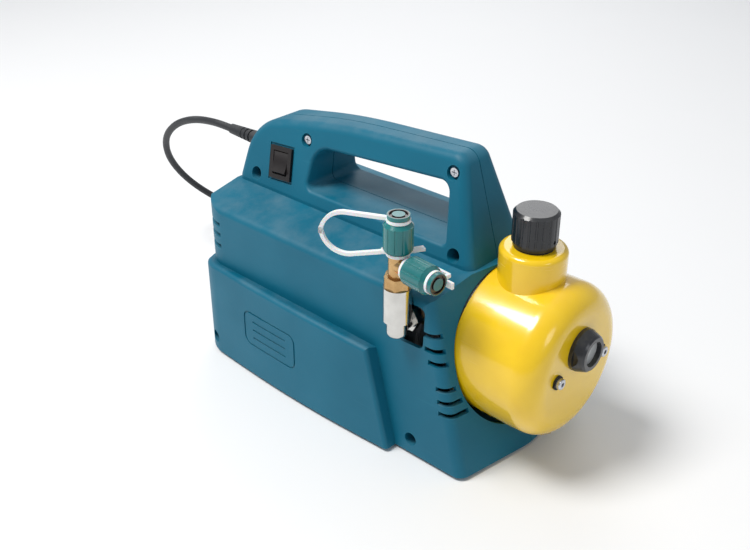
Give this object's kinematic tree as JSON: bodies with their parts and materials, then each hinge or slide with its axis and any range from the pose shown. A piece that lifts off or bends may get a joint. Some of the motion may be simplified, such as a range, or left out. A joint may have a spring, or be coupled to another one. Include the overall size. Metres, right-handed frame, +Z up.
{
  "type": "rotary vane vacuum pump",
  "caption": "Portable rotary vane vacuum pump: clamshell housing with carrying handle, round oil casing with fill cap and sight glass, tee intake fitting and mains cord.",
  "frame": {"origin": "under the middle of the body, on the plane of the rubber feet", "axes": "+X along the shaft towards the oil casing, +Y to the left side away from the intake fitting, +Z up"},
  "size_m": [0.5461, 0.323, 0.2354],
  "materials": {
    "housing": "fine texture",
    "zinc_steel": "zinc plated",
    "foot_rubber": "matt",
    "switch_black": "satin",
    "relief_rubber": "matt",
    "cord_sheath": "matt",
    "plug_black": "moulded",
    "cast_aluminium": "cast",
    "lamination_steel": "lacquered",
    "copper_wire": "enamelled",
    "ground_steel": "ground",
    "fan_plastic": "moulded",
    "capacitor_can": "moulded",
    "terminal_plastic": "moulded",
    "lead_sleeve": "satin",
    "spider_rubber": "matt",
    "cast_iron_grey": "machined",
    "vane_composite": "graphite",
    "seal_rubber": "matt",
    "casing_yellow": "gloss",
    "bezel_black": "satin",
    "sight_glass": "clear",
    "cap_black": "satin",
    "brass": "machined",
    "mesh_steel": "woven",
    "nickel": "nickel plated",
    "flare_cap_green": "satin",
    "strap_white": "moulded"
  },
  "bodies": {
    "pump": {"housing_right": "housing", "housing_left": "housing", "housing_screws": "zinc_steel", "rubber_feet": "foot_rubber", "switch_frame": "switch_black", "strain_relief": "relief_rubber", "mains_cord": "cord_sheath", "mains_cord_coil": "cord_sheath", "mains_cord_tail": "cord_sheath", "mains_plug": "plug_black", "motor_front_bracket": "cast_aluminium", "motor_rear_bracket": "cast_aluminium", "stator_core": "lamination_steel", "stator_windings": "copper_wire", "motor_bearings": "ground_steel", "motor_tie_screws": "zinc_steel", "motor_saddles": "foot_rubber", "run_capacitor": "capacitor_can", "terminal_block": "terminal_plastic", "motor_leads": "lead_sleeve", "pump_bracket": "cast_aluminium", "pump_cylinder": "cast_iron_grey", "pump_end_plate": "cast_iron_grey", "cylinder_screws": "zinc_steel", "shaft_seal": "seal_rubber", "discharge_reed": "ground_steel", "reed_stop": "zinc_steel", "casing_gasket": "seal_rubber", "oil_casing": "casing_yellow", "casing_screws": "zinc_steel", "casing_washers": "seal_rubber", "sight_glass_bezel": "bezel_black", "sight_glass_lens": "sight_glass", "sight_glass_seal": "seal_rubber", "demister": "mesh_steel", "intake_pipe": "brass", "intake_body": "nickel", "intake_valve_spring": "ground_steel", "intake_tee": "brass"},
    "rotor": {"motor_rotor_core": "lamination_steel", "motor_shaft": "ground_steel", "cooling_fan": "fan_plastic", "coupling_motor_half": "cast_aluminium", "coupling_spider": "spider_rubber", "coupling_pump_half": "cast_aluminium", "pump_rotor": "ground_steel", "pump_vanes": "vane_composite", "vane_springs": "ground_steel"},
    "rocker": {"switch_rocker": "switch_black"},
    "fill_cap": {"fill_cap": "cap_black"},
    "fill_cap_carrier": {"fill_cap_seal": "seal_rubber"},
    "top_cap": {"top_cap": "flare_cap_green"},
    "top_cap_carrier": {"top_cap_seal": "seal_rubber", "top_cap_strap": "strap_white"},
    "side_cap": {"side_cap": "flare_cap_green"},
    "side_cap_carrier": {"side_cap_seal": "seal_rubber", "side_cap_strap": "strap_white"},
    "drain_plug": {"drain_plug": "brass"},
    "drain_carrier": {"drain_washer": "seal_rubber"},
    "check_valve": {"intake_check_valve": "brass"}
  },
  "joints": [
    {"name": "rotor_spin", "type": "hinge", "parent": "pump", "child": "rotor", "pos_m": [0, 0, 0.091], "axis": [1, 0, 0], "continuous": true},
    {"name": "rocker_tilt", "type": "hinge", "parent": "pump", "child": "rocker", "pos_m": [-0.1187, -0.02664, 0.18083], "axis": [0.9976, 0.0163, 0.0678], "range_deg": [0, 18]},
    {"name": "fill_cap_rise", "type": "slide", "parent": "pump", "child": "fill_cap_carrier", "axis": [0, 0, 1], "range_m": [0, 0.0075]},
    {"name": "fill_cap_turn", "type": "hinge", "parent": "fill_cap_carrier", "child": "fill_cap", "pos_m": [0.1207, 0, 0.178], "axis": [0, 0, 1], "range_deg": [0, 900]},
    {"name": "top_cap_rise", "type": "slide", "parent": "pump", "child": "top_cap_carrier", "axis": [0, 0, 1], "range_m": [0, 0.00508]},
    {"name": "top_cap_turn", "type": "hinge", "parent": "top_cap_carrier", "child": "top_cap", "pos_m": [0.063, -0.085, 0.19], "axis": [0, 0, 1], "range_deg": [0, 1440]},
    {"name": "side_cap_rise", "type": "slide", "parent": "pump", "child": "side_cap_carrier", "axis": [0.9945, -0.1045, 0], "range_m": [0, 0.00508]},
    {"name": "side_cap_turn", "type": "hinge", "parent": "side_cap_carrier", "child": "side_cap", "pos_m": [0.063, -0.085, 0.1746], "axis": [0.9945, -0.1045, 0], "range_deg": [0, 1440]},
    {"name": "drain_drop", "type": "slide", "parent": "pump", "child": "drain_carrier", "axis": [0, 0, -1], "range_m": [0, 0.0045]},
    {"name": "drain_turn", "type": "hinge", "parent": "drain_carrier", "child": "drain_plug", "pos_m": [0.143, 0, 0.02], "axis": [0, 0, -1], "range_deg": [0, 1080]},
    {"name": "check_valve_slide", "type": "slide", "parent": "pump", "child": "check_valve", "axis": [0, 0, -1], "range_m": [0, 0.002], "stiffness_N_per_m": 60, "springref_m": -0.004, "deforming": ["intake_valve_spring"]}
  ],
  "couplings": [
    {"joint": "fill_cap_rise", "follows": "fill_cap_turn", "m_per_rad": 0.00047746},
    {"joint": "top_cap_rise", "follows": "top_cap_turn", "m_per_rad": 0.00020213},
    {"joint": "side_cap_rise", "follows": "side_cap_turn", "m_per_rad": 0.00020213},
    {"joint": "drain_drop", "follows": "drain_turn", "m_per_rad": 0.00023873}
  ]
}
